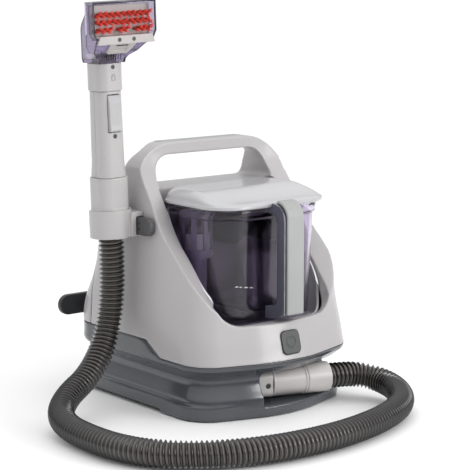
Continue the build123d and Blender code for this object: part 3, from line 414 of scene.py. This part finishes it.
def route_line(points):
    """Points along the smooth line that has the route as its control points."""
    curve = bpy.data.curves.new("route", "CURVE")
    curve.dimensions = "3D"
    curve.resolution_u = 48
    spline = curve.splines.new("NURBS")
    spline.points.add(len(points) - 1)
    for control, point in zip(spline.points, points):
        control.co = (point[0] * MM, point[1] * MM, point[2] * MM, 1.0)
    spline.order_u = 3
    spline.use_endpoint_u = True
    holder = bpy.data.objects.new("route", curve)
    bpy.context.scene.collection.objects.link(holder)
    ready = holder.evaluated_get(bpy.context.evaluated_depsgraph_get())
    mesh = bpy.data.meshes.new_from_object(ready)
    line = [vertex.co / MM for vertex in mesh.vertices]
    bpy.data.objects.remove(holder)
    return line


def spaced(line, step):
    """The same line in equal steps, ends kept."""
    lengths = [0.0]
    for a, b in zip(line, line[1:]):
        lengths.append(lengths[-1] + (b - a).length)
    count = round(lengths[-1] / step)
    result = []
    index = 0
    for number in range(count + 1):
        target = lengths[-1] * number / count
        while index < len(line) - 2 and lengths[index + 1] < target:
            index += 1
        share = (target - lengths[index]) / max(1e-9, lengths[index + 1] - lengths[index])
        result.append(line[index].lerp(line[index + 1], min(1.0, share)))
    return result, lengths[-1]


def tube_rings(line, radius_at, around):
    """Rings around a line with the least twist; radius_at takes the step and the turn from 0 to 1."""
    across = Vector((0, 1, 0))
    rings = []
    for number, point in enumerate(line):
        ahead = line[min(number + 1, len(line) - 1)] - line[max(number - 1, 0)]
        ahead.normalize()
        across = (across - ahead * across.dot(ahead)).normalized()
        up = ahead.cross(across)
        ring = []
        for i in range(around):
            turn = i / around
            angle = 2 * math.pi * turn
            outward = across * math.cos(angle) + up * math.sin(angle)
            ring.append(point + outward * radius_at(number, turn))
        rings.append(ring)
    return rings


def make_hose():
    """Suction hose with a helical rib, its crests sharper than its valleys."""
    steps_per_rib = 8
    around = 40
    line, length = spaced(route_line(HOSE_ROUTE), HOSE_PITCH / steps_per_rib)

    def crest(number, turn):
        wave = 0.5 + 0.5 * math.cos(2 * math.pi * (number / steps_per_rib - turn))
        return wave ** 1.7

    rings = tube_rings(line, lambda n, t: HOSE_RADIUS - HOSE_VALLEY * (1 - crest(n, t)), around)
    mesh = skin("hose_ribbed", rings)
    heights = [crest(n, i / around) for n in range(len(line)) for i in range(around)]
    mesh.attributes.new("crest", "FLOAT", "POINT").data.foreach_set("value", heights)
    hose = bpy.data.objects.new("hose_ribbed", mesh)
    bpy.context.scene.collection.objects.link(hose)
    mesh.materials.append(HOSE)
    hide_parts("hose")
    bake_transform(hose)


# ---------------------------------------------------------------- jug and lid
JUG_HALF, JUG_FRONT, JUG_BACK = 89.0, -128.0, 2.0
JUG_BOTTOM, JUG_TOP, JUG_WALL = 113.5, 270.0, 2.5
BAND_LOW = 256.0


def jug_ring(z, shrink):
    """Ring of the jug at a height, drawn in with the draft of its walls."""
    inset = shrink + 5.0 * (JUG_TOP - z) / (JUG_TOP - JUG_BOTTOM)
    front = max(6.0, 42.0 - shrink * 0.7)
    back = max(5.0, 22.0 - shrink * 0.5)
    points = plan(-JUG_HALF + inset, JUG_HALF - inset, JUG_FRONT + inset, JUG_BACK - inset,
                  [front, front, back, back])
    return [(p.x, p.y, z) for p in points]


def round_bottom(ring, low, shrink, radius, flat):
    """Rings of a rounded bottom edge, from the middle of the floor outwards."""
    rings = [ring(low, shrink + radius + extra) for extra in flat]
    for step in range(7):
        angle = math.radians(15 * step)
        rise = radius * (1 - math.cos(angle))
        rings.append(ring(low + rise, shrink + radius * (1 - math.sin(angle))))
    return rings


def make_jug():
    """Clear jug with rounded bottom edges and a stepped rim band."""
    outer = round_bottom(jug_ring, JUG_BOTTOM, 0.0, 9.0, (40.0, 20.0))
    outer += [jug_ring(z, 0.0) for z in (140.0, 170.0, 200.0, 230.0, 252.0, BAND_LOW - 0.8)]
    outer += [jug_ring(BAND_LOW - 0.2, -0.6), jug_ring(BAND_LOW, -2.2), jug_ring(BAND_LOW + 0.8, -3.0)]
    outer += [jug_ring(262.0, -3.0), jug_ring(JUG_TOP - 0.8, -3.0), jug_ring(JUG_TOP, -2.2),
              jug_ring(JUG_TOP, 1.7)]
    inner = round_bottom(jug_ring, JUG_BOTTOM + JUG_WALL, JUG_WALL, 7.0, (40.0, 20.0))
    inner += [jug_ring(z, JUG_WALL) for z in (140.0, 170.0, 200.0, 230.0, 252.0, JUG_TOP - 0.8)]
    place("jug_clear", skin("jug_clear", outer + inner[::-1]), JUG, "jug", ["jug_body"])


def tank_ring(z, shrink):
    """Ring of the inner tank, its right front corner the roundest."""
    radii = [max(3.0, r - shrink) for r in (24.0, 30.0, 20.0, 20.0)]
    points = plan(-36.0 + shrink, 71.0 - shrink, -116.0 + shrink, -14.0 - shrink, radii, 96)
    return [(p.x, p.y, z) for p in points]


def make_inner_tank():
    """Clear inner tank, open at the top."""
    outer = round_bottom(tank_ring, 130.0, 0.0, 10.0, (24.0, 12.0))
    outer += [tank_ring(200.0, 0.0), tank_ring(252.0, 0.0)]
    inner = round_bottom(tank_ring, 132.0, 2.0, 8.0, (24.0, 12.0))
    inner += [tank_ring(200.0, 2.0), tank_ring(252.0, 2.0)]
    place("inner_tank_clear", skin("inner_tank_clear", outer + inner[::-1]), TANK, "jug", ["inner_tank"])


def lid_height(y, inset):
    """Height of the lid's top: a flat raised back that sweeps down in a hollow curve to the front."""
    edge = min(1.0, max(0.0, (inset - 2.0) / 16.0))
    crown = math.sqrt(max(0.0, 1.0 - (1.0 - edge) ** 2))
    back = min(1.0, max(0.0, (y + 128.0) / 66.0))
    sweep = back * back * (3 - 2 * back)
    return 275.2 + crown * (2.6 + 12.0 * sweep)


def lid_ring(inset, z=None):
    """Ring of the lid, at its own height unless one is given."""
    radii = [max(2.0, 44.0 - inset * 0.75), max(2.0, 44.0 - inset * 0.75),
             max(2.0, 35.0 - inset * 0.6), max(2.0, 35.0 - inset * 0.6)]
    points = plan(-97.0 + inset, 97.0 - inset, -138.0 + inset, 4.0 - inset, radii, 168)
    return [(p.x, p.y, lid_height(p.y, inset) if z is None else z) for p in points]


def make_lid():
    """Sculpted lid with a thin lip all round."""
    under = [lid_ring(62.0, 274.0), lid_ring(30.0, 273.0), lid_ring(9.0, 271.5), lid_ring(6.0, 270.8)]
    lip = [lid_ring(1.0, 270.6), lid_ring(0.2, 271.2), lid_ring(0.0, 272.8), lid_ring(0.25, 274.4),
           lid_ring(0.9, 275.2)]
    insets = (2.0, 2.6, 3.4, 4.4, 5.6, 7.0, 9.0, 11.0, 13.5, 16.0, 19.0, 23.0, 28.0, 34.0, 41.0, 49.0,
              57.0, 64.0, 69.0)
    top = [lid_ring(inset) for inset in insets]
    place("lid_sculpted", skin("lid_sculpted", under + lip + top), LID, "lid", ["lid"])


# X, Z and width of each level mark
LEVEL_MARKS = [(-61.0, 170.4, 5.0), (-54.5, 169.2, 4.0), (-45.5, 167.8, 6.0), (-37.0, 166.6, 5.0)]


def make_level_marks():
    """Short row of small raised level marks on the front of the jug."""
    def build(work):
        for x, z, width in LEVEL_MARKS:
            box = bmesh.ops.create_cube(work, size=1.0)
            bmesh.ops.scale(work, vec=(width, 0.5, 1.1), verts=box["verts"])
            bmesh.ops.translate(work, vec=(x, JUG_FRONT + 3.5, z), verts=box["verts"])
        bmesh.ops.bevel(work, geom=list(work.edges), offset=0.15, segments=2, affect="EDGES")
    place("level_marks", mesh_from("level_marks", build), MARKS, "jug")


STRAP_HALF, STRAP_THICK, STRAP_ROUND = 13.5, 3.9, 1.4
CURL_Y, CURL_Z, CURL_RADIUS = -148.0, 258.0, 22.0
# place and thickness of the painted highlight bars along the handle's edges
HIGHLIGHT_X, HIGHLIGHT_RADIUS = 15.8, 0.45


def strap_line():
    """Outer line of the strap in (Y, Z), from its curl at the top down to its end."""
    line = []
    for degrees in range(0, 91, 9):
        angle = math.radians(degrees)
        forward, up = math.sin(angle), math.cos(angle)
        line.append(Vector((CURL_Y - CURL_RADIUS * forward, CURL_Z + CURL_RADIUS * up)))
    front = CURL_Y - CURL_RADIUS
    return line + [Vector((front, z)) for z in (240.0, 215.0, 190.0, 165.0, 145.0, 136.0, 134.0)]


def make_strap():
    """Soft grey strap over the front of the jug's handle, with a thin pale bar on each side as a painted
    highlight along the handle's edges.
    """
    line = strap_line()
    side, deep = STRAP_HALF - STRAP_ROUND, STRAP_THICK - STRAP_ROUND
    corners = [(side, deep, 0), (-side, deep, 90), (-side, STRAP_ROUND, 180), (side, STRAP_ROUND, 270)]
    sections = []
    for number, point in enumerate(line):
        ahead = (line[min(number + 1, len(line) - 1)] - line[max(number - 1, 0)]).normalized()
        inward = Vector((-ahead.y, ahead.x))
        section = []
        for corner_x, corner_depth, start in corners:
            for step in range(5):
                angle = math.radians(start + 22.5 * step)
                spot = point + inward * (corner_depth + STRAP_ROUND * math.sin(angle))
                section.append((corner_x + STRAP_ROUND * math.cos(angle), spot.x, spot.y))
        sections.append(section)
    place("handle_strap", skin("handle_strap", sections), STRAP, "jug", ["jug_handle_strap"])
    # painted highlight: a pale bar along each edge of the handle
    for x, name in ((-HIGHLIGHT_X, "handle_highlight_left"), (HIGHLIGHT_X, "handle_highlight_right")):
        edge = []
        for spot in line:
            drop = STRAP_THICK if spot.y > CURL_Z else 0.0
            edge.append(Vector((x, spot.x + STRAP_THICK, spot.y - drop)))
        place(name, mesh_from(name, round_line(edge, HIGHLIGHT_RADIUS, 8)), EDGE_HIGHLIGHT, "jug")


# ---------------------------------------------------------------- brush head
WAND_X, WAND_Y, WAND_Z = -154.5, 21.5, 245.0
WAND_LEAN = math.radians(-1.9)
MOUTH_Y = -28.0
HEAD_TOP, HEAD_LOW = 533.0, 486.0


def lean(point):
    """Moves a point of the upright wand onto its leaning axis; X is measured from the axis."""
    x, y, z = point
    along = z - WAND_Z
    return Vector((WAND_X + x * math.cos(WAND_LEAN) + along * math.sin(WAND_LEAN), y,
                   WAND_Z - x * math.sin(WAND_LEAN) + along * math.cos(WAND_LEAN)))


# height of each bristle row and the stretches of it that hold bundles
BRISTLE_ROWS = [(HEAD_TOP - 16.0, [(-43, 43)]), (HEAD_TOP - 25.5, [(-43, 43)]),
                (HEAD_TOP - 35.0, [(-43, -17), (-8, 8), (18, 43)])]
BUNDLE_PITCH, BUNDLE_SPLAY = 4.2, 2.4
BRISTLES_IN_BUNDLE, BRISTLE_RADIUS = 26, 0.32


def make_bristles():
    """Three rows of nylon bristles; neighbouring bundles splay across each other."""
    rng = random.Random(7)

    def build(work):
        for row, (z, groups) in enumerate(BRISTLE_ROWS):
            for start, end in groups:
                count = round((end - start) / BUNDLE_PITCH)
                for number in range(count):
                    middle = start + (end - start) * (number + 0.5) / count
                    tilt = BUNDLE_SPLAY if (number + row) % 2 else -BUNDLE_SPLAY
                    for _ in range(BRISTLES_IN_BUNDLE):
                        x = middle + rng.uniform(-1.2, 1.2)
                        height = z + rng.uniform(-1.6, 1.6)
                        tip = (x + rng.uniform(-1.7, 1.7), MOUTH_Y - 3.0 + rng.uniform(0.0, 2.2),
                               height + tilt + rng.uniform(-1.5, 1.5))
                        root = lean((x, MOUTH_Y + 10.5, height))
                        cylinder(work, root, lean(tip), BRISTLE_RADIUS, 0.7, 5)
    place("bristle_bundles", mesh_from("bristle_bundles", build), BRISTLE, "head", ["bristles"])


def make_nozzle_details():
    """Dark rolled rim round the mouth, vanes in the nozzle's neck and a dark bar of painted shade for
    the slot in its tongue.
    """
    mouth = [(-43.0, HEAD_LOW), (-47.5, HEAD_LOW + 8.5), (-47.5, HEAD_TOP - 0.5),
             (47.5, HEAD_TOP - 0.5), (47.5, HEAD_LOW + 8.5), (43.0, HEAD_LOW)]
    rim = [lean((x, MOUTH_Y, z)) for x, z in mouth]
    place("nozzle_rim", mesh_from("nozzle_rim", round_line(rim, 1.1)), HEAD_RIM, "head")

    def vanes(work):
        for number in range(9):
            x = -14.0 + number * 3.5
            cylinder(work, lean((x, 6.5, 458.0)), lean((x * 1.15, 4.0, 470.0)), 0.7, 0.9)
    place("nozzle_vanes", mesh_from("nozzle_vanes", vanes), HEAD_RIM, "head")

    def slot(work):
        # painted shade: a dark bar for the shade in the tongue's slot
        cylinder(work, lean((-8.5, -19.6, 478.2)), lean((8.5, -19.6, 478.2)), 1.5, 1.0, 12)
    place("tongue_slot", mesh_from("tongue_slot", slot), SLOT_SHADE, "head")


def make_wand_details():
    """Lock mark on the neck and two dark bars of painted shade for the grip slots of the latch."""
    case = [(-2.6, 437.0), (2.6, 437.0), (2.6, 432.0), (-2.6, 432.0), (-2.6, 437.0)]
    bow = [(-1.7, 437.0), (-1.7, 439.6), (1.7, 439.6), (1.7, 437.0)]

    def lock(work):
        face = WAND_Y - 19.9
        for stroke in (case, bow):
            for (x, z), (next_x, next_z) in zip(stroke, stroke[1:]):
                cylinder(work, lean((x, face, z)), lean((next_x, face, next_z)), 0.4)
    place("lock_mark", mesh_from("lock_mark", lock), TRIGGER, "wand")
    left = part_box("holder_latch")[0].x / MM

    # painted shade: dark bars for the shade in the latch's grip slots
    def slots(work):
        for z in (238.5, 246.5):
            cylinder(work, (left, -15.5, z), (left, -11.5, z), 0.9, 1.0, 10)
    place("latch_slots", mesh_from("latch_slots", slots), SLOT_SHADE, "latch")


COIL_TURNS, COIL_STEPS = 5, 24
COIL_RADIUS, WIRE_RADIUS = 2.4, 0.3


def make_trigger_spring():
    """Wound spring behind the trigger."""
    low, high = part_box("trigger_spring")
    middle = (low + high) / 2 / MM
    near, far = low.y / MM + WIRE_RADIUS, high.y / MM - WIRE_RADIUS
    line = []
    for number in range(COIL_TURNS * COIL_STEPS + 1):
        angle = 2 * math.pi * number / COIL_STEPS
        y = near + (far - near) * number / (COIL_TURNS * COIL_STEPS)
        line.append(Vector((middle.x + COIL_RADIUS * math.cos(angle), y,
                            middle.z + COIL_RADIUS * math.sin(angle))))
    wire = tube_rings(line, lambda n, t: WIRE_RADIUS, 8)
    spring = bpy.data.objects.new("trigger_coil", skin("trigger_coil", wire))
    bpy.context.scene.collection.objects.link(spring)
    spring.data.materials.append(STEEL)
    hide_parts("trigger_spring")
    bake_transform(spring)


# ---------------------------------------------------------------- floor and light
FLOOR_HALF, FLOOR_Z = 40.0, -0.0005
SKY_LOW, SKY_HIGH = (0.42, 0.42, 0.44), (1.35, 1.35, 1.35)
LAMP_AIM = (0, -0.05, 0.2)
# name, place, size and power of each lamp
LAMPS = [("key", (1.0, -2.3, 1.0), 1.1, 27.0), ("top", (0.3, 0.5, 2.4), 1.4, 3.0)]


def make_stage():
    """Pale floor under a sky that brightens upwards, with a soft lamp in front and one overhead."""
    mesh = bpy.data.meshes.new("floor")
    corners = [(-FLOOR_HALF, -FLOOR_HALF, FLOOR_Z), (FLOOR_HALF, -FLOOR_HALF, FLOOR_Z),
               (FLOOR_HALF, FLOOR_HALF, FLOOR_Z), (-FLOOR_HALF, FLOOR_HALF, FLOOR_Z)]
    mesh.from_pydata(corners, [], [(0, 1, 2, 3)])
    floor = bpy.data.objects.new("floor", mesh)
    bpy.context.scene.collection.objects.link(floor)
    white = plastic("floor_white", (0.93, 0.93, 0.93), rough=0.7, relief=0.02, spread=0.004)
    mesh.materials.append(white)
    world = bpy.data.worlds.new("studio")
    world.use_nodes = True
    tree = world.node_tree
    background = tree.nodes["Background"]
    background.inputs["Strength"].default_value = 1.0
    direction = tree.nodes.new("ShaderNodeTexCoord")
    split = tree.nodes.new("ShaderNodeSeparateXYZ")
    tree.links.new(direction.outputs["Generated"], split.inputs["Vector"])
    sky = ramp(tree, split.outputs["Z"], SKY_LOW, SKY_HIGH, 0.0, 0.85)
    tree.links.new(sky, background.inputs["Color"])
    bpy.context.scene.world = world
    for name, location, size, power in LAMPS:
        data = bpy.data.lights.new(name, "AREA")
        data.size = size
        data.energy = power
        light = bpy.data.objects.new(name, data)
        bpy.context.scene.collection.objects.link(light)
        light.location = location
        aim = Vector(LAMP_AIM) - Vector(location)
        light.rotation_euler = aim.to_track_quat("-Z", "Y").to_euler()
    bpy.context.scene.view_settings.view_transform = "Standard"


# ---------------------------------------------------------------- build
# node, material, voxel in millimetres and smoothing passes of each moulding
MOULDINGS = [
    ("front_shell", SHELL, 1.3, 8), ("rear_shell", SHELL, 1.4, 6), ("handle_cover", HANDLE_SHADE, 0.9, 4),
    ("base_tray", BASE, 1.5, 5), ("cord_hooks", HOOK, 0.9, 5), ("power_button", BUTTON, 0.5, 4),
    ("jug_handle_frame", HANDLE_FRAME, 0.8, 5), ("wand_holder", WAND, 0.8, 4),
    ("holder_latch", LATCH, 0.6, 4), ("hose_port", PORT, 0.7, 4), ("hose_collar", PORT, 0.6, 4),
    ("hose_cuff", PORT, 0.7, 4), ("wand_collar", WAND, 0.8, 5), ("grip_front", WAND, 0.6, 4),
    ("grip_back", WAND, 0.7, 4), ("wand_neck", WAND, 0.7, 4), ("trigger", TRIGGER, 0.5, 5),
    ("brush_frame", FRAME_BEIGE, 0.6, 4),
]

dress_cad_nodes()
for node, material, voxel, passes in MOULDINGS:
    moulded(node, material, voxel, passes)
make_hose()
make_jug()
make_inner_tank()
make_lid()
make_level_marks()
make_strap()
make_bristles()
make_nozzle_details()
make_wand_details()
make_trigger_spring()
make_stage()
